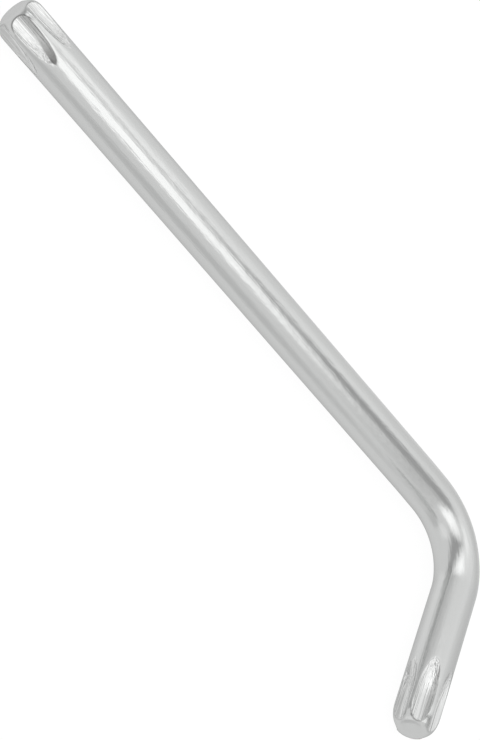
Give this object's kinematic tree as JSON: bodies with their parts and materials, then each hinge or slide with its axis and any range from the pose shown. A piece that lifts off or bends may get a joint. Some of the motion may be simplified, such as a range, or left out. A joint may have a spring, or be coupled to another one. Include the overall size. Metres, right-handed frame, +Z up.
{
  "type": "star wrench",
  "caption": "L-shaped star wrench: a bright plated round steel bar bent square, with a six-lobe drive on both ends for turning star-socket screws.",
  "frame": {"origin": "on the surface the wrench lies on, under the middle of its outline", "axes": "+X along the long arm from its star tip towards the bend, +Y from the short arm's star tip towards the bend, +Z up, square to the plane of both arms"},
  "size_m": [0.0734, 0.0263, 0.0045],
  "materials": {
    "plated_steel": "bright nickel plating with fine draw lines"
  },
  "bodies": {
    "root": {"long_arm_star_tip": "plated_steel", "long_arm": "plated_steel", "bend": "plated_steel", "short_arm": "plated_steel", "short_arm_star_tip": "plated_steel"}
  },
  "joints": []
}
